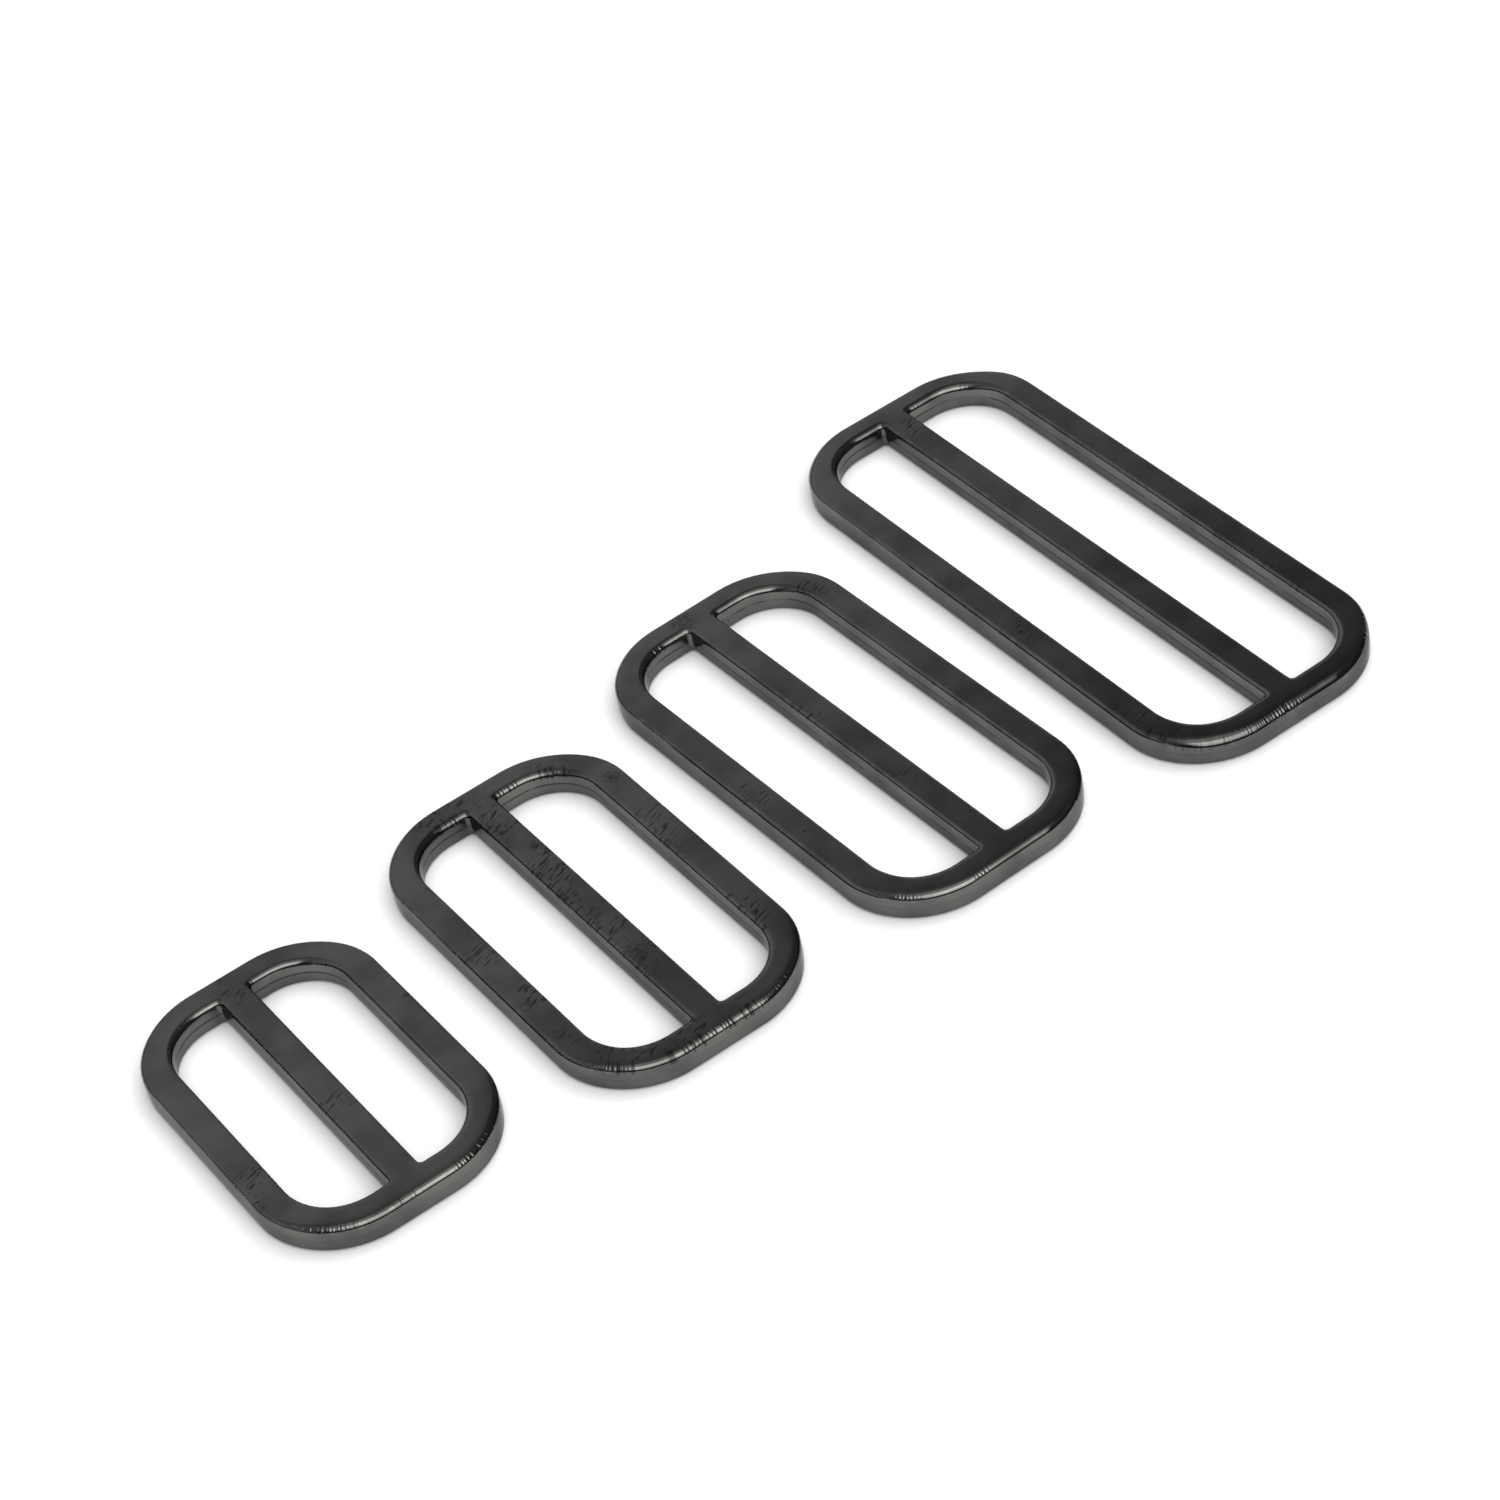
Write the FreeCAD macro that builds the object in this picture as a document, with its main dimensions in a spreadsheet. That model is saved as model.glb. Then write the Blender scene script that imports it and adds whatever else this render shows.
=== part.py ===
import FreeCAD, Part
import math
import os

import Sketcher

# Set of four strap sliders, one each for 20, 25, 30 and 40 mm webbing.
#
# Each slider is one zinc die casting: a flat rounded frame with a fixed centre bar
# cast across it, which leaves two slots for the webbing.  The two halves of the die
# meet at half the thickness, so every wall leans away from that parting plane by the
# draft angle, and the edges are rounded over above and below.
#
# Frame: millimetres, +Z up.  The sliders lie flat on Z = 0 in a row along +X, the
# narrowest first, with their slots along Y.  X = 0 is the middle of the row, and
# Y = 0 is the middle of the widest slider.

# Sizes that every slider shares, in millimetres and degrees.
SHARED_SIZES = {
    "thickness": 1.9,
    "end_rim": 2.15,          # metal beyond each end of the slots
    "side_rim": 2.15,         # metal outside each slot
    "bar_width": 2.15,
    "corner_radius": 6.0,     # outside corners, at the parting plane
    "slot_radius": 3.7,       # slot corners at the side rim
    "root_radius": 0.25,      # slot corners at the bar
    "lower_round": 0.3,       # rounding of the edges underneath
    "strap_clearance": 0.2,   # slot length over the strap's width
    "draft_angle": 1.5,
}

# Sizes that belong to one slider: its strap's width, the opening of each slot beside
# the bar, the rounding of its upper edges, the gap to the next slider in the row, its
# place along Y, and how far it is turned on the table.
SLIDER_SIZES = {
    "slider_20mm": {
        "strap": 20.0, "opening": 4.9, "upper_round": 0.4, "gap": 3.75, "shift": -5.4, "turn": 0.0,
    },
    "slider_25mm": {
        "strap": 25.0, "opening": 5.3, "upper_round": 0.4, "gap": 3.6, "shift": -4.8, "turn": 0.0,
    },
    "slider_30mm": {
        "strap": 30.0, "opening": 5.5, "upper_round": 0.42, "gap": 3.95, "shift": -2.95, "turn": 1.6,
    },
    "slider_40mm": {
        "strap": 40.0, "opening": 5.8, "upper_round": 0.5, "gap": 0.0, "shift": 0.0, "turn": 0.0,
    },
}

PLANE_TOLERANCE = 1e-4


def cell(label, size):
    """Alias of one slider's own size in the sheet."""
    return f"{label}_{size}"


def make_sheet(doc):
    """Writes the driving sizes: a name and a plain number on each row."""
    values = dict(SHARED_SIZES)
    for label, own_sizes in SLIDER_SIZES.items():
        for size, value in own_sizes.items():
            values[cell(label, size)] = value
    sheet = doc.addObject("Spreadsheet::Sheet", "sizes")
    for row, (name, value) in enumerate(values.items(), start=1):
        sheet.set(f"A{row}", name)
        sheet.set(f"B{row}", str(value))
        sheet.setAlias(f"B{row}", name)
    doc.recompute()
    return sheet


def slot_length(label):
    return f"(sizes.{cell(label, 'strap')} + sizes.strap_clearance)"


def outline_length(label):
    return f"({slot_length(label)} + 2 * sizes.end_rim)"


def outline_width(label):
    return f"(sizes.bar_width + 2 * (sizes.{cell(label, 'opening')} + sizes.side_rim))"


def origin_plane(body, role):
    return next(feature for feature in body.Origin.OriginFeatures if feature.Role == role)


def sketch_on_parting_plane(body, name):
    """An empty sketch at half the thickness, where the halves of the die meet."""
    sketch = body.newObject("Sketcher::SketchObject", name)
    sketch.AttachmentSupport = (origin_plane(body, "XY_Plane"), [""])
    sketch.MapMode = "FlatFace"
    sketch.setExpression("AttachmentOffset.Base.z", "sizes.thickness / 2")
    return sketch


def draw_rounded_rectangle(sketch, low, high, radii):
    """Draws a rounded rectangle from low to high, with its sides level and tangent.

    radii are the corner radii, anticlockwise from the low-X, low-Y corner.  Curves 0
    to 3 are the sides, from the low-Y side on, and curves 4 to 7 are the corners.
    """
    (x_low, y_low), (x_high, y_high) = low, high
    centres = [
        (x_low + radii[0], y_low + radii[0]),
        (x_high - radii[1], y_low + radii[1]),
        (x_high - radii[2], y_high - radii[2]),
        (x_low + radii[3], y_high - radii[3]),
    ]
    sides = [
        ((centres[0][0], y_low), (centres[1][0], y_low)),
        ((x_high, centres[1][1]), (x_high, centres[2][1])),
        ((centres[2][0], y_high), (centres[3][0], y_high)),
        ((x_low, centres[3][1]), (x_low, centres[0][1])),
    ]
    up = FreeCAD.Vector(0, 0, 1)
    for start, end in sides:
        sketch.addGeometry(Part.LineSegment(FreeCAD.Vector(*start, 0), FreeCAD.Vector(*end, 0)))
    for corner, (centre, radius) in enumerate(zip(centres, radii)):
        start_angle = math.pi + corner * math.pi / 2
        circle = Part.Circle(FreeCAD.Vector(*centre, 0), up, radius)
        sketch.addGeometry(Part.ArcOfCircle(circle, start_angle, start_angle + math.pi / 2))
    for side in range(4):
        corner = side + 4
        previous_side = (side + 3) % 4
        direction = "Horizontal" if side % 2 == 0 else "Vertical"
        sketch.addConstraint(Sketcher.Constraint(direction, side))
        sketch.addConstraint(Sketcher.Constraint("Tangent", previous_side, 2, corner, 1))
        sketch.addConstraint(Sketcher.Constraint("Tangent", corner, 2, side, 1))


def bind(sketch, name, constraint, expression):
    """Adds a dimension to a sketch and ties it to the sheet."""
    sketch.renameConstraint(sketch.addConstraint(constraint), name)
    sketch.setExpression(f"Constraints.{name}", expression)


def run_both_ways(feature, taper):
    """Runs a pad or a pocket half the thickness each way, with draft on its walls."""
    feature.SideType = "Two sides"
    for side in ("", "2"):
        feature.setExpression(f"Length{side}", "sizes.thickness / 2")
        feature.setExpression(f"TaperAngle{side}", taper)


def add_blank(doc, body, label, sheet):
    """The outline of the casting, solid, drawn in above and below the parting plane."""
    half_width = sheet.bar_width / 2 + sheet.get(cell(label, "opening")) + sheet.side_rim
    half_length = (sheet.get(cell(label, "strap")) + sheet.strap_clearance) / 2 + sheet.end_rim
    low, high = (-half_width, -half_length), (half_width, half_length)
    sketch = sketch_on_parting_plane(body, f"{label}_outline")
    draw_rounded_rectangle(sketch, low, high, [sheet.corner_radius] * 4)
    for corner in (5, 6, 7):
        sketch.addConstraint(Sketcher.Constraint("Equal", 4, corner))
    sketch.addConstraint(Sketcher.Constraint("Symmetric", 4, 3, 6, 3, -1, 1))
    corner = Sketcher.Constraint("Radius", 4, sheet.corner_radius)
    width = Sketcher.Constraint("DistanceX", 3, 1, 1, 1, 2 * half_width)
    length = Sketcher.Constraint("DistanceY", 0, 1, 2, 1, 2 * half_length)
    bind(sketch, "corner", corner, "sizes.corner_radius")
    bind(sketch, "width", width, outline_width(label))
    bind(sketch, "length", length, outline_length(label))
    blank = body.newObject("PartDesign::Pad", f"{label}_blank")
    blank.Profile = sketch
    run_both_ways(blank, "-sizes.draft_angle")
    doc.recompute()
    return blank


def add_slots(doc, body, label, sheet):
    """Cuts one slot through beside the bar, and its mirror image on the other side."""
    bar_side = sheet.bar_width / 2
    rim_side = bar_side + sheet.get(cell(label, "opening"))
    half_length = (sheet.get(cell(label, "strap")) + sheet.strap_clearance) / 2
    radii = [sheet.root_radius, sheet.slot_radius, sheet.slot_radius, sheet.root_radius]
    sketch = sketch_on_parting_plane(body, f"{label}_slot_outline")
    draw_rounded_rectangle(sketch, (bar_side, -half_length), (rim_side, half_length), radii)
    sketch.addConstraint(Sketcher.Constraint("Equal", 4, 7))
    sketch.addConstraint(Sketcher.Constraint("Equal", 5, 6))
    root = Sketcher.Constraint("Radius", 4, sheet.root_radius)
    corner = Sketcher.Constraint("Radius", 5, sheet.slot_radius)
    offset = Sketcher.Constraint("DistanceX", -1, 1, 3, 1, bar_side)
    opening = Sketcher.Constraint("DistanceX", 3, 1, 1, 1, rim_side - bar_side)
    half = Sketcher.Constraint("DistanceY", 0, 1, -1, 1, half_length)
    length = Sketcher.Constraint("DistanceY", 0, 1, 2, 1, 2 * half_length)
    bind(sketch, "root", root, "sizes.root_radius")
    bind(sketch, "corner", corner, "sizes.slot_radius")
    bind(sketch, "offset", offset, "sizes.bar_width / 2")
    bind(sketch, "opening", opening, f"sizes.{cell(label, 'opening')}")
    bind(sketch, "half", half, f"{slot_length(label)} / 2")
    bind(sketch, "length", length, slot_length(label))
    slot = body.newObject("PartDesign::Pocket", f"{label}_slot")
    slot.Profile = sketch
    run_both_ways(slot, "sizes.draft_angle")
    doc.recompute()
    pair = body.newObject("PartDesign::Mirrored", f"{label}_slot_pair")
    pair.Originals = [slot]
    pair.MirrorPlane = (origin_plane(body, "YZ_Plane"), [""])
    body.Tip = pair
    doc.recompute()
    return pair


def check_slots(label, blank, slots, sheet):
    """A pocket that points away from the metal cuts nothing, so the volumes are compared."""
    slot_size = sheet.get(cell(label, "opening")) * (sheet.get(cell(label, "strap")) + sheet.strap_clearance)
    lost_to_corners = (2 - math.pi / 2) * sheet.slot_radius**2
    least = 2 * (slot_size - lost_to_corners) * sheet.thickness
    if blank.Shape.Volume - slots.Shape.Volume < 0.99 * least:
        raise RuntimeError(f"{label}: the slots do not go through")


def edges_at(shape, height):
    """Names of the edges that lie in the plane Z = height."""
    return [
        f"Edge{number}"
        for number, edge in enumerate(shape.Edges, start=1)
        if abs(edge.BoundBox.ZMin - height) < PLANE_TOLERANCE
        and abs(edge.BoundBox.ZMax - height) < PLANE_TOLERANCE
    ]


def round_edges(doc, body, name, height, radius):
    """Rounds over every edge at one height, outside and in the slots."""
    below = body.Tip
    fillet = body.newObject("PartDesign::Fillet", name)
    fillet.Base = (below, edges_at(below.Shape, height))
    fillet.setExpression("Radius", radius)
    doc.recompute()


def lay_in_row(body, label):
    """Puts a slider in its place in the row, and turns it on the table."""
    order = list(SLIDER_SIZES)
    pitches = {one: f"{outline_width(one)} + sizes.{cell(one, 'gap')}" for one in order[:-1]}
    whole_row = " + ".join([*pitches.values(), outline_width(order[-1])])
    before = [pitches[one] for one in order[: order.index(label)]]
    centre = " + ".join([*before, f"{outline_width(label)} / 2"])
    body.setExpression("Placement.Base.x", f"{centre} - ({whole_row}) / 2")
    body.setExpression("Placement.Base.y", f"sizes.{cell(label, 'shift')}")
    body.setExpression("Placement.Rotation.Angle", f"sizes.{cell(label, 'turn')}")


def make_slider(doc, label, sheet):
    """One casting: solid outline, two slots, rounded edges, and its place in the row."""
    body = doc.addObject("PartDesign::Body", label)
    body.Label = label
    blank = add_blank(doc, body, label, sheet)
    slots = add_slots(doc, body, label, sheet)
    check_slots(label, blank, slots, sheet)
    upper_round = f"sizes.{cell(label, 'upper_round')}"
    round_edges(doc, body, f"{label}_upper_edges", sheet.thickness, upper_round)
    round_edges(doc, body, f"{label}_lower_edges", 0.0, "sizes.lower_round")
    lay_in_row(body, label)
    return body


def check(doc, bodies):
    """Stops before anything is written if a feature failed or a casting is not one solid."""
    for obj in doc.Objects:
        if {"Invalid", "Error"} & set(obj.State):
            raise RuntimeError(f"{obj.Name} failed: {obj.State}")
    for body in bodies:
        shape = body.Shape
        if shape.isNull() or not shape.isValid() or len(shape.Solids) != 1:
            raise RuntimeError(f"{body.Label} is not one valid solid")


def write_parts(bodies):
    os.makedirs("parts", exist_ok=True)
    for body in bodies:
        body.Shape.exportStep(f"parts/{body.Label}.step")
        box = body.Shape.optimalBoundingBox(False)
        print(f"{body.Label}: {body.Shape.Volume:.1f} mm3, X {box.XMin:.3f} to {box.XMax:.3f}, "
              f"Y {box.YMin:.3f} to {box.YMax:.3f}, Z {box.ZMin:.3f} to {box.ZMax:.3f}")


def main():
    doc = FreeCAD.newDocument("strap_sliders")
    sheet = make_sheet(doc)
    bodies = [make_slider(doc, label, sheet) for label in SLIDER_SIZES]
    doc.recompute()
    check(doc, bodies)
    write_parts(bodies)


main()
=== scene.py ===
import math

import bpy
from mathutils import Matrix, Vector


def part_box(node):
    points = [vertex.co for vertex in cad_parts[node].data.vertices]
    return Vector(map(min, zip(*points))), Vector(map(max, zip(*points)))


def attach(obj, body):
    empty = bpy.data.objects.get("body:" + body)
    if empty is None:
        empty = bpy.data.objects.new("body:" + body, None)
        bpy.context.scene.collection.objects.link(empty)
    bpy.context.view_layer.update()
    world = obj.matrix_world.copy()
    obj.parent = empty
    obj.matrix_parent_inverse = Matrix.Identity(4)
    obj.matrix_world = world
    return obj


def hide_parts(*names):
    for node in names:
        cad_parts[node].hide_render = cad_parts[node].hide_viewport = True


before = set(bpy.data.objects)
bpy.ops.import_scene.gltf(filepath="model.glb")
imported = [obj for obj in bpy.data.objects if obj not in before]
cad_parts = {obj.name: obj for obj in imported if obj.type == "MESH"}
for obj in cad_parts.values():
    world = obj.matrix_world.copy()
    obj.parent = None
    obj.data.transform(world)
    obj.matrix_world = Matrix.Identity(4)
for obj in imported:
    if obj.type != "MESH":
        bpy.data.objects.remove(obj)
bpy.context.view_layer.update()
print("frame loaded:", ", ".join(sorted(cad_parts)))

mm = 0.001


# small helpers for node trees

def nodeIn(tree, kind, settings=None, **inputs):
    node = tree.nodes.new(kind)
    for key, value in (settings or {}).items():
        setattr(node, key, value)
    for key, value in inputs.items():
        feed(tree, node.inputs[key.replace("_", " ")], value)
    return node


def feed(tree, socket, value):
    if isinstance(value, bpy.types.NodeSocket):
        tree.links.new(value, socket)
    else:
        socket.default_value = value


def reckon(tree, operation, *values):
    node = tree.nodes.new("ShaderNodeMath")
    node.operation = operation
    for socket, value in zip(node.inputs, values):
        feed(tree, socket, value)
    return node.outputs[0]


def total(tree, *values):
    result = values[0]
    for value in values[1:]:
        result = reckon(tree, "ADD", result, value)
    return result


def times(tree, *values):
    result = values[0]
    for value in values[1:]:
        result = reckon(tree, "MULTIPLY", result, value)
    return result


def between(tree, value, low, high, toLow=0.0, toHigh=1.0):
    node = tree.nodes.new("ShaderNodeMapRange")
    node.interpolation_type = "SMOOTHSTEP"
    for socket, given in zip(node.inputs, (value, low, high, toLow, toHigh)):
        feed(tree, socket, given)
    return node.outputs[0]


def pointAt(tree, x, y, z=0.0):
    node = tree.nodes.new("ShaderNodeCombineXYZ")
    for socket, value in zip(node.inputs, (x, y, z)):
        feed(tree, socket, value)
    return node.outputs[0]


def apart(tree, vector):
    return nodeIn(tree, "ShaderNodeSeparateXYZ", Vector=vector).outputs


def marking(tree, geometry, name, value):
    node = nodeIn(tree, "GeometryNodeStoreNamedAttribute", Geometry=geometry, Name=name, Value=value)
    return node.outputs[0]


def limited(tree, value):
    return reckon(tree, "MINIMUM", reckon(tree, "MAXIMUM", value, 0.0), 1.0)


def choose(tree, switch, otherwise, chosen):
    node = tree.nodes.new("GeometryNodeSwitch")
    node.input_type = "FLOAT"
    for socket, value in zip(node.inputs, (switch, otherwise, chosen)):
        feed(tree, socket, value)
    return node.outputs[0]


def newTree(name, sizes, result="Curve", extra=()):
    tree = bpy.data.node_groups.new(name, "GeometryNodeTree")
    for label in sizes:
        tree.interface.new_socket(name=label, in_out="INPUT", socket_type="NodeSocketFloat")
    for label, kind in extra:
        tree.interface.new_socket(name=label, in_out="INPUT", socket_type=kind)
    tree.interface.new_socket(name=result, in_out="OUTPUT", socket_type="NodeSocketGeometry")
    return tree, tree.nodes.new("NodeGroupInput").outputs, tree.nodes.new("NodeGroupOutput").inputs


# the outline that a rounded edge runs along
outlineRule = {
    "cornerSteps": 40,
    "joinMask": (0.004, 0.02),  # share of the outline's length, from where it closes on itself
    "endTurn": (0.25, 0.85),  # how far the edge has turned from side to end
}


def makeOutlineTree():
    sizes = ("Width", "Length", "Left Radius", "Right Radius", "Middle", "Point Spacing")
    tree, given, result = newTree("roundedOutline", sizes, extra=[("Hole", "NodeSocketBool")])
    box = nodeIn(tree, "GeometryNodeCurvePrimitiveQuadrilateral", {"mode": "RECTANGLE"},
                 Width=given["Width"], Height=given["Length"])
    place = apart(tree, nodeIn(tree, "GeometryNodeInputPosition").outputs[0])
    onRight = reckon(tree, "GREATER_THAN", place["X"], 0.0)
    radius = choose(tree, onRight, given["Left Radius"], given["Right Radius"])
    rounded = nodeIn(tree, "GeometryNodeFilletCurve", {"mode": "POLY"}, Curve=box.outputs[0],
                     Count=outlineRule["cornerSteps"], Radius=radius)
    even = nodeIn(tree, "GeometryNodeResampleCurve", {"mode": "LENGTH"}, Curve=rounded.outputs[0],
                  Length=given["Point Spacing"])
    placed = nodeIn(tree, "GeometryNodeSetPosition", Geometry=even.outputs[0],
                    Offset=pointAt(tree, given["Middle"], 0.0))
    turned = nodeIn(tree, "GeometryNodeReverseCurve", Curve=placed.outputs[0], Selection=given["Hole"])
    level = nodeIn(tree, "GeometryNodeSetCurveNormal", {"mode": "Z_UP"}, Curve=turned.outputs[0])
    along = nodeIn(tree, "GeometryNodeSplineParameter").outputs
    marked = marking(tree, level.outputs[0], "alongEdge", along["Length"])
    fromJoin = reckon(tree, "MINIMUM", along["Factor"], reckon(tree, "SUBTRACT", 1.0, along["Factor"]))
    marked = marking(tree, marked, "offJoin", between(tree, fromJoin, *outlineRule["joinMask"]))
    heading = apart(tree, nodeIn(tree, "GeometryNodeInputTangent").outputs[0])
    ending = between(tree, reckon(tree, "ABSOLUTE", heading["X"]), *outlineRule["endTurn"])
    marked = marking(tree, marked, "endOn", ending)  # 1 along the ends, 0 along the sides
    marked = marking(tree, marked, "inSlot", choose(tree, given["Hole"], 0.0, 1.0))
    feed(tree, result["Curve"], marked)
    return tree


# half of a rail's cross section: flat, crown, upper round, drafted wall, lower round
sectionRule = {
    "lip": 0.04,  # mm of flat strip, which carries the shading level into the flats
    "roundSteps": 8, "crownCuts": 6.0, "wallCuts": 8.0,
    "ridgeReach": 0.11,  # mm from the parting line to where its ridge ends
}


def makeSectionTree():
    sizes = ("Thickness", "Upper Round", "Lower Round", "Crown Width", "Crown Drop", "Draft",
             "Parting Ridge")
    tree, given, result = newTree("edgeSection", sizes)
    lip = sectionRule["lip"] * mm
    height = given["Thickness"]
    upperReach = total(tree, reckon(tree, "MAXIMUM", given["Crown Width"], given["Upper Round"]), lip)
    lowerReach = total(tree, given["Lower Round"], lip)
    corners = nodeIn(tree, "GeometryNodeCurvePrimitiveQuadrilateral", {"mode": "POINTS"},
                     Point_1=pointAt(tree, times(tree, upperReach, -1.0), height),
                     Point_2=pointAt(tree, 0.0, height),
                     Point_3=pointAt(tree, 0.0, 0.0),
                     Point_4=pointAt(tree, times(tree, lowerReach, -1.0), 0.0))
    opened = nodeIn(tree, "GeometryNodeSetSplineCyclic", Geometry=corners.outputs[0], Cyclic=False)
    isUpper = nodeIn(tree, "FunctionNodeCompare", {"data_type": "INT", "operation": "EQUAL"})
    feed(tree, isUpper.inputs[2], nodeIn(tree, "GeometryNodeInputIndex").outputs[0])
    isUpper.inputs[3].default_value = 1
    radius = choose(tree, isUpper.outputs[0], given["Lower Round"], given["Upper Round"])
    rounded = nodeIn(tree, "GeometryNodeFilletCurve", {"mode": "POLY"}, Curve=opened.outputs[0],
                     Count=sectionRule["roundSteps"], Radius=radius)
    place = apart(tree, nodeIn(tree, "GeometryNodeInputPosition").outputs[0])
    outward, upward = place["X"], place["Y"]
    half = times(tree, height, 0.5)
    startsFlat = reckon(tree, "LESS_THAN", outward, times(tree, total(tree, upperReach, -0.5 * lip), -1.0))
    startsWall = times(tree, reckon(tree, "GREATER_THAN", outward, -0.001 * mm),
                       reckon(tree, "GREATER_THAN", upward, half))
    cuts = total(tree, times(tree, startsFlat, sectionRule["crownCuts"]),
                 times(tree, startsWall, sectionRule["wallCuts"]))
    divided = nodeIn(tree, "GeometryNodeSubdivideCurve", Curve=rounded.outputs[0], Cuts=cuts)
    fromParting = reckon(tree, "ABSOLUTE", reckon(tree, "SUBTRACT", upward, half))
    drawnIn = times(tree, fromParting, reckon(tree, "TANGENT", given["Draft"]))
    ridge = between(tree, fromParting, 0.0, sectionRule["ridgeReach"] * mm)  # 0 on the parting line
    sideways = reckon(tree, "SUBTRACT", reckon(tree, "SUBTRACT", outward, drawnIn),
                      times(tree, ridge, given["Parting Ridge"]))
    intoCrown = reckon(tree, "DIVIDE", total(tree, outward, given["Crown Width"]), given["Crown Width"])
    intoCrown = limited(tree, intoCrown)
    upperWall = reckon(tree, "SUBTRACT", half, given["Upper Round"])
    share = reckon(tree, "DIVIDE", reckon(tree, "SUBTRACT", upward, half), upperWall)
    share = limited(tree, share)
    drop = times(tree, given["Crown Drop"], intoCrown, intoCrown, share)
    marked = marking(tree, divided.outputs[0], "towardsEdge",
                     times(tree, intoCrown, reckon(tree, "GREATER_THAN", upward, half)))
    shaped = nodeIn(tree, "GeometryNodeSetPosition", Geometry=marked,
                    Position=pointAt(tree, sideways, reckon(tree, "SUBTRACT", drop, upward)))
    feed(tree, result["Curve"], shaped.outputs[0])
    return tree


# one cast slider
castSizes = (
    "Slot Length", "Slot Width", "End Rim", "Side Rim", "Bar Width", "Thickness", "Corner Radius",
    "Slot Radius", "Root Radius", "Draft", "End Round", "Side Round", "Crown Width", "Crown Drop",
    "Slot End Round", "Slot Side Round", "Slot Crown Width", "Slot Crown Drop", "Lower Round",
    "Parting Ridge", "Relief", "Point Spacing", "Seed",
)
castRule = {
    "mergeDistance": 0.002,  # mm
    "rippleScale": 700.0, "rippleDetail": 2.0,
    "rippleOn": (0.02, 0.3),  # leaves the flats level
}


def makeCastTree(outlineTree, sectionTree):
    extra = [("Finish", "NodeSocketMaterial")]
    tree, given, result = newTree("castSlider", castSizes, result="Casting", extra=extra)

    where = nodeIn(tree, "GeometryNodeInputPosition").outputs[0]
    number = nodeIn(tree, "GeometryNodeInputIndex").outputs[0]
    endOn = nodeIn(tree, "GeometryNodeInputNamedAttribute", {"data_type": "FLOAT"},
                   Name="endOn").outputs[0]

    def band(width, length, left, right, middle, hole, endRound, sideRound, crownWidth, crownDrop):
        outline = nodeIn(tree, "GeometryNodeGroup", {"node_tree": outlineTree}, Width=width,
                         Length=length, Left_Radius=left, Right_Radius=right, Middle=middle, Hole=hole,
                         Point_Spacing=given["Point Spacing"])
        swept = []  # the same edge twice, with the sides' round and with the ends'
        for upperRound in (sideRound, endRound):
            section = nodeIn(tree, "GeometryNodeGroup", {"node_tree": sectionTree},
                             Thickness=given["Thickness"], Upper_Round=upperRound,
                             Lower_Round=given["Lower Round"], Crown_Width=crownWidth,
                             Crown_Drop=crownDrop, Draft=given["Draft"],
                             Parting_Ridge=given["Parting Ridge"])
            swept.append(nodeIn(tree, "GeometryNodeCurveToMesh", Curve=outline.outputs[0],
                                Profile_Curve=section.outputs[0]).outputs[0])
        ending = nodeIn(tree, "GeometryNodeSampleIndex", {"data_type": "FLOAT_VECTOR"},
                        Geometry=swept[1], Value=where, Index=number)
        blended = nodeIn(tree, "ShaderNodeMix", {"data_type": "VECTOR"})
        for index, value in ((0, endOn), (4, where), (5, ending.outputs[0])):
            feed(tree, blended.inputs[index], value)
        shaped = nodeIn(tree, "GeometryNodeSetPosition", Geometry=swept[0], Position=blended.outputs[1])
        return shaped.outputs[0]

    opening, slotLength = given["Slot Width"], given["Slot Length"]
    width = total(tree, given["Bar Width"], times(tree, total(tree, opening, given["Side Rim"]), 2.0))
    length = total(tree, slotLength, times(tree, given["End Rim"], 2.0))
    middle = times(tree, total(tree, given["Bar Width"], opening), 0.5)
    outside = (given["End Round"], given["Side Round"], given["Crown Width"], given["Crown Drop"])
    inside = (given["Slot End Round"], given["Slot Side Round"], given["Slot Crown Width"],
              given["Slot Crown Drop"])
    corner, rail, root = given["Corner Radius"], given["Slot Radius"], given["Root Radius"]
    bands = nodeIn(tree, "GeometryNodeJoinGeometry")
    for one in (
        band(width, length, corner, corner, 0.0, False, *outside),
        band(opening, slotLength, root, rail, middle, True, *inside),
        band(opening, slotLength, rail, root, times(tree, middle, -1.0), True, *inside),
    ):
        tree.links.new(one, bands.inputs[0])

    faceCount = nodeIn(tree, "GeometryNodeInputMeshEdgeNeighbors").outputs[0]
    rimEdge = reckon(tree, "COMPARE", faceCount, 1.0, 0.1)  # an open edge has one face
    place = apart(tree, nodeIn(tree, "GeometryNodeInputPosition").outputs[0])
    isHigh = reckon(tree, "GREATER_THAN", place["Z"], times(tree, given["Thickness"], 0.5))

    def flat(chosen, height):
        loops = nodeIn(tree, "GeometryNodeMeshToCurve", Mesh=bands.outputs[0],
                       Selection=times(tree, rimEdge, chosen))
        filled = nodeIn(tree, "GeometryNodeFillCurve", {"mode": "TRIANGLES"}, Curve=loops.outputs[0])
        lifted = nodeIn(tree, "GeometryNodeSetPosition", Geometry=filled.outputs[0],
                        Offset=pointAt(tree, 0.0, 0.0, height))
        return lifted.outputs[0]

    top = flat(isHigh, given["Thickness"])
    underside = nodeIn(tree, "GeometryNodeFlipFaces",
                       Mesh=flat(reckon(tree, "SUBTRACT", 1.0, isHigh), 0.0))
    whole = nodeIn(tree, "GeometryNodeJoinGeometry")
    for one in (bands.outputs[0], top, underside.outputs[0]):
        tree.links.new(one, whole.inputs[0])
    closed = nodeIn(tree, "GeometryNodeMergeByDistance", Geometry=whole.outputs[0],
                    Distance=castRule["mergeDistance"] * mm)
    smooth = nodeIn(tree, "GeometryNodeSetShadeSmooth", Geometry=closed.outputs[0])

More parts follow.
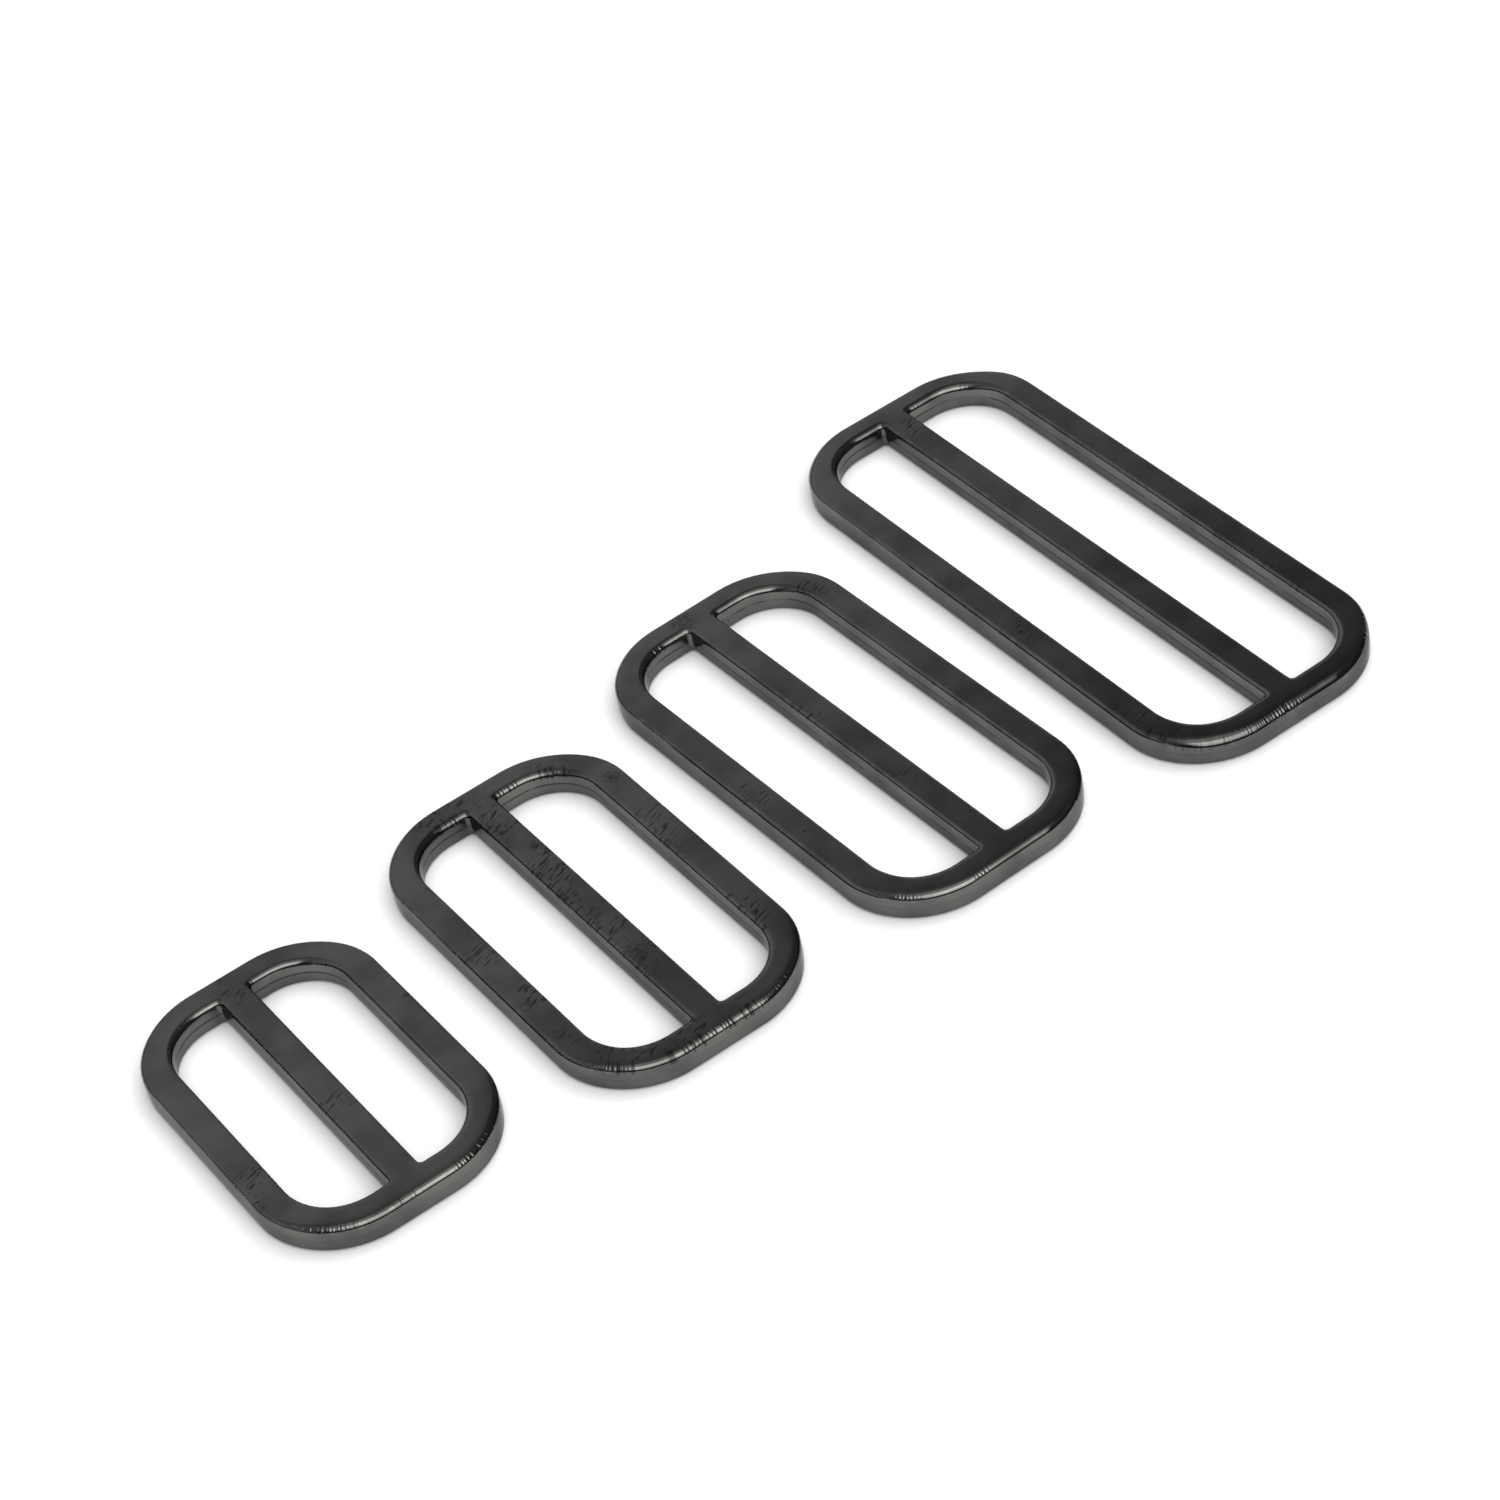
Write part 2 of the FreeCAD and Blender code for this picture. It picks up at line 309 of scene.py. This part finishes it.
    level = apart(tree, nodeIn(tree, "GeometryNodeInputNormal").outputs[0])
    rounding = reckon(tree, "SUBTRACT", 1.0, reckon(tree, "ABSOLUTE", level["Z"]))  # 0 flat, 1 wall
    marked = marking(tree, smooth.outputs[0], "rounding", rounding)
    ripple = nodeIn(tree, "ShaderNodeTexNoise", {"noise_dimensions": "4D"}, W=given["Seed"],
                    Scale=castRule["rippleScale"], Detail=castRule["rippleDetail"])
    sunk = times(tree, ripple.outputs["Fac"], given["Relief"],
                 between(tree, rounding, *castRule["rippleOn"]), -1.0)
    away = nodeIn(tree, "ShaderNodeVectorMath", {"operation": "SCALE"},
                  Vector=nodeIn(tree, "GeometryNodeInputNormal").outputs[0], Scale=sunk)
    cast = nodeIn(tree, "GeometryNodeSetPosition", Geometry=marked, Offset=away.outputs[0])
    real = nodeIn(tree, "GeometryNodeRealizeInstances", Geometry=cast.outputs[0])
    plated = nodeIn(tree, "GeometryNodeSetMaterial", Geometry=real.outputs[0], Material=given["Finish"])
    feed(tree, result["Casting"], plated.outputs[0])
    return tree


castTree = makeCastTree(makeOutlineTree(), makeSectionTree())
print("casting tree made:", len(castTree.nodes), "nodes")


# black nickel plating
plating = {
    "light": (0.142, 0.139, 0.133), "dark": (0.094, 0.091, 0.088), "worn": (0.2, 0.194, 0.184),
    "stain": (0.03, 0.029, 0.028), "grazing": (0.62, 0.62, 0.62),
    "roughness": 0.055, "spread": 0.04, "wornRough": 0.08, "dragRough": 0.12, "partingRough": 0.2,
    "peel": 0.0007, "waves": 0.0045, "grit": 0.009, "chatter": 0.02,  # heights in mm
    "dragDepth": 0.004, "pitDepth": 0.02, "scuffDepth": 0.012,
    "chatterPitch": 0.25, "chatterWander": 0.25, "evenTeeth": 0.4, "unevenTeeth": 0.75,
    "streakLane": 0.12, "streakSlope": 0.35, "streakStretch": 0.2,
    "pitCell": 520.0, "pitSize": 0.07, "pitShare": 0.05,
    "partingWidth": 0.07, "partingWander": 0.06, "partingLift": 0.03, "partingOutside": 0.2,
    "partingFaint": 0.25, "wear": 0.4,
    "dragStain": 0.8, "pitStain": 0.85, "partingStain": 0.75, "scuffStain": 0.6,
}
grains = {  # cells per metre, detail and seed of each noise
    "wander": (1500.0, 2.0, 0.0), "runs": (240.0, 2.0, 3.0), "teeth": (4300.0, 1.0, 4.0),
    "rimStreaks": (5200.0, 1.0, 5.0), "flatStreaks": (4600.0, 1.0, 6.0), "clusters": (230.0, 2.0, 7.0),
    "crumbs": (5200.0, 3.0, 9.0), "partingWander": (900.0, 2.0, 0.0), "partingBreaks": (420.0, 2.0, 11.0),
    "clouds": (260.0, 4.0, 0.0), "wear": (1300.0, 3.0, 13.0), "gloss": (900.0, 3.0, 15.0),
    "peel": (2600.0, 2.0, 0.0), "waves": (420.0, 3.0, 19.0), "grit": (6000.0, 2.0, 17.0),
}
fades = {  # where each mark begins, and where it is full
    "round": (0.004, 0.1), "roundEnds": (0.75, 0.97), "wall": (0.85, 0.97), "level": (0.02, 0.2),
    "rim": (0.1, 0.6), "runs": (0.62, 0.74), "teeth": (0.35, 0.65), "rimStreaks": (0.52, 0.62),
    "flatStreaks": (0.53, 0.64), "clusters": (0.64, 0.74), "crumbs": (0.46, 0.58),
    "partingBreaks": (0.36, 0.5), "clouds": (0.35, 0.68), "wear": (0.5, 0.66),
}


def blackNickel(name, look, thickness):
    material = bpy.data.materials.new(name)
    material.use_nodes = True
    tree = material.node_tree
    tree.nodes.clear()
    coords = nodeIn(tree, "ShaderNodeTexCoord").outputs["Object"]
    place = apart(tree, coords)

    def stored(label):
        return nodeIn(tree, "ShaderNodeAttribute", {"attribute_name": label}).outputs["Fac"]

    def noise(kind, where=coords):
        scale, detail, seed = grains[kind]
        grain = nodeIn(tree, "ShaderNodeTexNoise", {"noise_dimensions": "4D"}, Vector=where,
                       W=look["Seed"] + seed, Scale=scale, Detail=detail)
        return grain.outputs["Fac"]

    def fade(value, kind, toLow=0.0, toHigh=1.0, sooner=0.0):
        begins, full = fades[kind]
        return between(tree, value, begins - sooner, full - sooner, toLow, toHigh)

    def inverse(value):
        return reckon(tree, "SUBTRACT", 1.0, value)

    def tinted(below, above, share):
        mixer = nodeIn(tree, "ShaderNodeMix", {"data_type": "RGBA"})
        feed(tree, mixer.inputs["Factor"], share)
        for socket, value in ((mixer.inputs[6], below), (mixer.inputs[7], above)):
            feed(tree, socket, value if isinstance(value, bpy.types.NodeSocket) else (*value, 1.0))
        return mixer.outputs[2]

    rounding, toEdge = stored("rounding"), stored("towardsEdge")
    along, offJoin = stored("alongEdge"), stored("offJoin")
    onRound = times(tree, fade(rounding, "round"), fade(rounding, "roundEnds", 1.0, 0.0))
    onWall = fade(rounding, "wall")

    # chatter: fine ridges across the rounded edges, in runs that come and go
    wander = times(tree, noise("wander"), plating["chatterWander"] * mm)
    turns = times(tree, total(tree, along, wander), 2.0 * math.pi / (plating["chatterPitch"] * mm))
    runs = fade(noise("runs"), "runs", sooner=look["chatter"])
    uneven = fade(noise("teeth", pointAt(tree, along, 0.0)), "teeth", -1.0, 1.0)
    teeth = total(tree, times(tree, reckon(tree, "SINE", turns), plating["evenTeeth"]),
                  times(tree, uneven, plating["unevenTeeth"]))
    chatter = times(tree, teeth, runs, onRound, offJoin)

    # drag marks: short dark streaks, in clusters, across the rim and aslant on the flats
    lane = pointAt(tree, along, times(tree, toEdge, plating["streakLane"] * mm))
    rimStreak = times(tree, fade(noise("rimStreaks", lane), "rimStreaks"), offJoin,
                      fade(toEdge, "rim"), inverse(onWall))
    slope = plating["streakSlope"]
    lengthwise = total(tree, place["X"], times(tree, place["Y"], slope))
    slanted = pointAt(tree, times(tree, lengthwise, plating["streakStretch"]),
                      reckon(tree, "SUBTRACT", place["Y"], times(tree, place["X"], slope)))
    flatStreak = times(tree, fade(noise("flatStreaks", slanted), "flatStreaks"),
                       fade(toEdge, "rim", 1.0, 0.0), fade(rounding, "level", 1.0, 0.0))
    cluster = fade(noise("clusters"), "clusters", sooner=look["streaks"])
    drag = times(tree, total(tree, rimStreak, flatStreak), cluster)

    # pits: a few small round holes in the plating
    cells = nodeIn(tree, "ShaderNodeTexVoronoi", Vector=coords, Scale=plating["pitCell"], Randomness=1.0)
    drawn = apart(tree, cells.outputs["Color"])["X"]
    picked = reckon(tree, "GREATER_THAN", drawn, 1.0 - plating["pitShare"])
    reach = plating["pitSize"] * mm * plating["pitCell"]
    pit = times(tree, between(tree, cells.outputs["Distance"], 0.4 * reach, reach, 1.0, 0.0), picked)

    # scuffs: small rough places of this slider's own
    scuff = None
    for x, y, size in look["scuffs"]:
        node = nodeIn(tree, "ShaderNodeVectorMath", {"operation": "DISTANCE"})
        feed(tree, node.inputs[0], pointAt(tree, place["X"], place["Y"]))
        node.inputs[1].default_value = (x * mm, y * mm, 0.0)
        spot = between(tree, node.outputs["Value"], 0.3 * size * mm, size * mm, 1.0, 0.0)
        scuff = spot if scuff is None else reckon(tree, "MAXIMUM", scuff, spot)
    if scuff is not None:
        scuff = times(tree, scuff, fade(noise("crumbs"), "crumbs"))

    # parting line: a thin dull line around the middle of the walls
    wavy = total(tree, place["Z"], times(tree, noise("partingWander"), plating["partingWander"] * mm))
    middle = 0.5 * thickness + plating["partingLift"] * mm
    offMiddle = reckon(tree, "ABSOLUTE", reckon(tree, "SUBTRACT", wavy, middle))
    width = plating["partingWidth"] * mm
    parting = times(tree, between(tree, offMiddle, 0.5 * width, 1.6 * width, 1.0, 0.0), onWall,
                    fade(noise("partingBreaks"), "partingBreaks", plating["partingFaint"]),
                    between(tree, stored("inSlot"), 0.0, 1.0, plating["partingOutside"]))

    patch = fade(noise("clouds"), "clouds")
    colour = tinted(plating["light"], plating["dark"], patch)
    worn = times(tree, onRound, fade(noise("wear"), "wear"), plating["wear"])
    colour = tinted(colour, plating["worn"], worn)
    stains = total(tree, times(tree, drag, plating["dragStain"]), times(tree, pit, plating["pitStain"]),
                   times(tree, parting, plating["partingStain"]))
    if scuff is not None:
        stains = total(tree, stains, times(tree, scuff, plating["scuffStain"]))
    colour = tinted(colour, plating["stain"], reckon(tree, "MINIMUM", stains, 1.0))

    rough = total(tree, plating["roughness"] - plating["spread"] / 2,
                  times(tree, noise("gloss"), plating["spread"]),
                  times(tree, worn, plating["wornRough"]), times(tree, drag, plating["dragRough"]),
                  times(tree, parting, plating["partingRough"]))

    heights = total(tree, times(tree, noise("peel"), plating["peel"] * mm),
                    times(tree, noise("waves"), plating["waves"] * mm),
                    times(tree, chatter, 0.5 * plating["chatter"] * mm),
                    times(tree, drag, -plating["dragDepth"] * mm),
                    times(tree, pit, -plating["pitDepth"] * mm),
                    times(tree, noise("grit"), onWall, plating["grit"] * mm))
    if scuff is not None:
        heights = total(tree, heights, times(tree, scuff, -plating["scuffDepth"] * mm))
    bump = nodeIn(tree, "ShaderNodeBump", Strength=1.0, Distance=1.0, Height=heights)

    shader = nodeIn(tree, "ShaderNodeBsdfPrincipled", Metallic=1.0, Base_Color=colour, Roughness=rough,
                    Normal=bump.outputs[0], Specular_Tint=(*plating["grazing"], 1.0))
    output = tree.nodes.new("ShaderNodeOutputMaterial")
    tree.links.new(shader.outputs[0], output.inputs[0])
    return material


# the four sliders, sizes in mm
castShape = {
    "End Rim": 2.15, "Side Rim": 2.15, "Bar Width": 2.15, "Corner Radius": 6.0, "Slot Radius": 3.7,
    "Root Radius": 0.25, "Lower Round": 0.3, "Parting Ridge": 0.012, "Side Round": 0.28,
    "Slot Side Round": 0.26, "Point Spacing": 0.12,
}
draftAngle = 1.5  # degrees
sliders = {  # turn in degrees, scuffs as x, y and size
    "20mm": {"End Round": 0.48, "Crown Width": 0.85, "Crown Drop": 0.02, "Slot End Round": 0.38,
             "Slot Crown Width": 0.6, "Slot Crown Drop": 0.02, "Relief": 0.008,
             "turn": 0.0, "Seed": 1.0, "chatter": 0.2, "streaks": 0.06, "scuffs": ()},
    "25mm": {"End Round": 0.48, "Crown Width": 0.85, "Crown Drop": 0.02, "Slot End Round": 0.42,
             "Slot Crown Width": 0.65, "Slot Crown Drop": 0.02, "Relief": 0.008,
             "turn": 0.0, "Seed": 2.0, "chatter": 0.2, "streaks": 0.14,
             "scuffs": ((-4.0, 3.8, 0.8), (-11.7, -10.7, 1.0))},
    "30mm": {"End Round": 0.5, "Crown Width": 1.0, "Crown Drop": 0.02, "Slot End Round": 0.42,
             "Slot Crown Width": 0.75, "Slot Crown Drop": 0.01, "Relief": 0.006,
             "turn": 1.6, "Seed": 3.0, "chatter": 0.1, "streaks": 0.06,
             "scuffs": ((8.0, 13.0, 1.3), (10.8, 11.4, 1.1), (1.9, -9.4, 0.35))},
    "40mm": {"End Round": 0.68, "Crown Width": 1.1, "Crown Drop": 0.03, "Slot End Round": 0.45,
             "Slot Crown Width": 0.62, "Slot Crown Drop": 0.015, "Relief": 0.005,
             "turn": 0.0, "Seed": 4.0, "chatter": 0.12, "streaks": 0.04, "scuffs": ()},
}


def outlineFromBox(node, turn):
    low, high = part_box(node)
    size = high - low
    radius = castShape["Corner Radius"] * mm
    c, s = math.cos(turn), math.sin(turn)
    across, down = size.x - 2 * radius, size.y - 2 * radius  # spans between the corner centres
    width = (across * c - down * s) / (c * c - s * s) + 2 * radius
    length = (down * c - across * s) / (c * c - s * s) + 2 * radius
    return width, length, size.z, (low + high) / 2


def makeSlider(size, own):
    node = f"slider_{size}"
    turn = math.radians(own["turn"])
    width, length, thickness, centre = outlineFromBox(node, turn)
    values = {key: value * mm for key, value in {**castShape, **own}.items() if key in castSizes}
    values["Seed"] = own["Seed"]  # no length
    values["Thickness"] = thickness
    values["Slot Length"] = length - 2 * values["End Rim"]
    values["Slot Width"] = (width - values["Bar Width"]) / 2 - values["Side Rim"]
    values["Draft"] = math.radians(draftAngle)
    values["Finish"] = blackNickel(f"blackNickel{size}", own, thickness)
    slider = bpy.data.objects.new(f"strapSlider{size}", bpy.data.meshes.new("start"))
    bpy.context.scene.collection.objects.link(slider)
    modifier = slider.modifiers.new("casting", "NODES")
    modifier.node_group = castTree
    for item in castTree.interface.items_tree:
        if item.in_out == "INPUT":
            modifier[item.identifier] = values[item.name]
    bpy.context.view_layer.update()
    shown = slider.evaluated_get(bpy.context.evaluated_depsgraph_get())
    mesh = bpy.data.meshes.new_from_object(shown)
    slider.modifiers.remove(modifier)
    mesh.name = f"strapSlider{size}"
    mesh.materials.clear()  # the starting mesh leaves an empty place in front of the finish
    mesh.materials.append(values["Finish"])
    mesh.polygons.foreach_set("material_index", [0] * len(mesh.polygons))
    mesh.transform(Matrix.Translation((centre.x, centre.y, 0.0)) @ Matrix.Rotation(turn, 4, "Z"))
    slider.data = mesh
    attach(slider, node)
    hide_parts(node)
    print(f"{slider.name}: {len(mesh.polygons)} faces, {width / mm:.2f} x {length / mm:.2f} mm")


for size, own in sliders.items():
    makeSlider(size, own)


# table, light and camera
table = {"half": 3.0, "drop": 0.02 * mm, "colour": (0.9, 0.9, 0.9), "cloud": 0.985,
         "grainScale": 60.0, "grainDetail": 3.0, "roughness": 0.9}


def makeTable():
    half, z = table["half"], -table["drop"]
    mesh = bpy.data.meshes.new("tableTop")
    corners = [(-half, -half, z), (half, -half, z), (half, half, z), (-half, half, z)]
    mesh.from_pydata(corners, [], [(0, 1, 2, 3)])
    top = bpy.data.objects.new("tableTop", mesh)
    bpy.context.scene.collection.objects.link(top)
    material = bpy.data.materials.new("paleBoard")
    material.use_nodes = True
    tree = material.node_tree
    shader = tree.nodes["Principled BSDF"]
    coords = nodeIn(tree, "ShaderNodeTexCoord").outputs["Object"]
    grain = nodeIn(tree, "ShaderNodeTexNoise", Vector=coords, Scale=table["grainScale"],
                   Detail=table["grainDetail"])
    tint = nodeIn(tree, "ShaderNodeMix", {"data_type": "RGBA"})
    feed(tree, tint.inputs["Factor"], grain.outputs["Fac"])
    tint.inputs[6].default_value = (*table["colour"], 1.0)
    tint.inputs[7].default_value = (*(table["cloud"] * part for part in table["colour"]), 1.0)
    feed(tree, shader.inputs["Base Color"], tint.outputs[2])
    shader.inputs["Roughness"].default_value = table["roughness"]
    shader.inputs["Specular IOR Level"].default_value = 0.0
    mesh.materials.append(material)


makeTable()

studio = {
    "boardEdge": (-0.364, 0.728, -0.58),  # the room grows lighter in this direction
    "board": {-0.35: 0.075, -0.2: 0.105, -0.12: 0.15, -0.08: 0.2, -0.04: 0.32, 0.0: 0.46, 0.05: 0.52,
              0.4: 0.56},
    "lampTurn": 261.0, "lampHeight": 41.0,  # the soft box on the near side, in degrees
    "lampHalfWidth": 0.63, "lampHalfHeight": 0.34, "lampSoftness": 0.16, "lamp": 2.7,
    "glowTurn": 265.0, "glowHeight": 66.0, "glow": 0.7, "glowReach": (0.78, 0.97),
    "ceiling": 0.3, "ceilingEnd": 0.12, "ceilingAcross": (0.2, 0.45), "ceilingUp": (0.35, 0.6),
    "leftBack": (-0.707, 0.707, 0.0), "leftBackReach": (0.5, 0.78),
    "horizon": 0.14, "darkCorner": 0.42, "horizonStart": 0.05, "horizonLevel": 0.06,
    "overhead": (0.35, 0.1, 0.931), "fill": 0.21, "fillTop": 2.36, "fillReach": (0.55, 1.0),
    "strength": 1.07,
    "seen": (0.93, 0.93, 0.93),
}


def towards(turn, height):
    turn, height = math.radians(turn), math.radians(height)
    return Vector((math.cos(turn) * math.cos(height), math.sin(turn) * math.cos(height), math.sin(height)))


def makeStudio():
    world = bpy.data.worlds.new("softStudio")
    bpy.context.scene.world = world
    world.use_nodes = True
    tree = world.node_tree
    tree.nodes.clear()
    sky = nodeIn(tree, "ShaderNodeTexCoord").outputs["Generated"]

    def share(direction):
        node = nodeIn(tree, "ShaderNodeVectorMath", {"operation": "DOT_PRODUCT"})
        feed(tree, node.inputs[0], sky)
        node.inputs[1].default_value = direction
        return node.outputs["Value"]

    ramp = nodeIn(tree, "ShaderNodeValToRGB",
                  Fac=reckon(tree, "MULTIPLY_ADD", share(studio["boardEdge"]), 0.5, 0.5))
    stops = ramp.color_ramp.elements
    for index, (place, level) in enumerate(studio["board"].items()):
        stop = stops[index] if index < 2 else stops.new(1.0)
        stop.position = place / 2 + 0.5
        stop.color = (level, level, level, 1.0)
    height = share((0.0, 0.0, 1.0))
    ceiling = times(tree, between(tree, share((1.0, 0.0, 0.0)), *studio["ceilingAcross"],
                                  studio["ceiling"], studio["ceilingEnd"]),
                    between(tree, height, *studio["ceilingUp"]))
    board = reckon(tree, "MAXIMUM", ramp.outputs["Color"], ceiling)
    darkTop = between(tree, share(studio["leftBack"]), *studio["leftBackReach"], studio["horizon"],
                      studio["darkCorner"])  # the dark band by the table is taller at the left back
    board = times(tree, board, between(tree, height, studio["horizonStart"], darkTop,
                                       studio["horizonLevel"], 1.0))

    middle = towards(studio["lampTurn"], studio["lampHeight"])
    across = towards(studio["lampTurn"] + 90.0, 0.0)
    upward = middle.cross(across) * -1.0
    facing = reckon(tree, "MAXIMUM", share(middle), 0.001)
    lamp = studio["lamp"]
    for direction, reach in ((across, studio["lampHalfWidth"]), (upward, studio["lampHalfHeight"])):
        off = reckon(tree, "ABSOLUTE", reckon(tree, "DIVIDE", share(direction), facing))
        soft = studio["lampSoftness"]
        lamp = times(tree, lamp, between(tree, off, reach - soft, reach + soft, 1.0, 0.0))
    glow = between(tree, share(towards(studio["glowTurn"], studio["glowHeight"])), *studio["glowReach"],
                   0.0, studio["glow"])
    shine = tree.nodes.new("ShaderNodeBackground")
    feed(tree, shine.inputs["Color"], total(tree, board, lamp, glow))
    shine.inputs["Strength"].default_value = studio["strength"]

    fill = tree.nodes.new("ShaderNodeBackground")  # what lights the table
    feed(tree, fill.inputs["Color"], between(tree, share(studio["overhead"]), *studio["fillReach"],
                                             studio["fill"], studio["fillTop"]))
    plain = tree.nodes.new("ShaderNodeBackground")
    plain.inputs["Color"].default_value = (*studio["seen"], 1.0)
    rays = nodeIn(tree, "ShaderNodeLightPath").outputs
    mixed = shine.outputs[0]
    for kind, source in (("Is Diffuse Ray", fill), ("Is Camera Ray", plain)):
        mixer = tree.nodes.new("ShaderNodeMixShader")
        tree.links.new(rays[kind], mixer.inputs[0])
        tree.links.new(mixed, mixer.inputs[1])
        tree.links.new(source.outputs[0], mixer.inputs[2])
        mixed = mixer.outputs[0]
    output = tree.nodes.new("ShaderNodeOutputWorld")
    tree.links.new(mixed, output.inputs[0])


makeStudio()
bpy.context.scene.view_settings.view_transform = "Standard"

camera = {
    "at": (-0.08571421, -0.17644564, 0.17332585),
    "right": (0.80322186, -0.57175103, -0.16713889),
    "up": (0.48742211, 0.46955042, 0.73616716),
    "lens": 98.7306, "sensor": 36.0, "near": 0.01, "far": 20.0,
}


def makeCamera():
    data = bpy.data.cameras.new("tableCamera")
    data.lens = camera["lens"]
    data.sensor_width = camera["sensor"]
    data.clip_start = camera["near"]
    data.clip_end = camera["far"]
    holder = bpy.data.objects.new("tableCamera", data)
    bpy.context.scene.collection.objects.link(holder)
    right, up = Vector(camera["right"]), Vector(camera["up"])
    back = right.cross(up)
    turn = Matrix((right, up, back)).transposed().to_4x4()
    holder.matrix_world = Matrix.Translation(camera["at"]) @ turn
    bpy.context.scene.camera = holder


makeCamera()
print("table, light and camera placed")
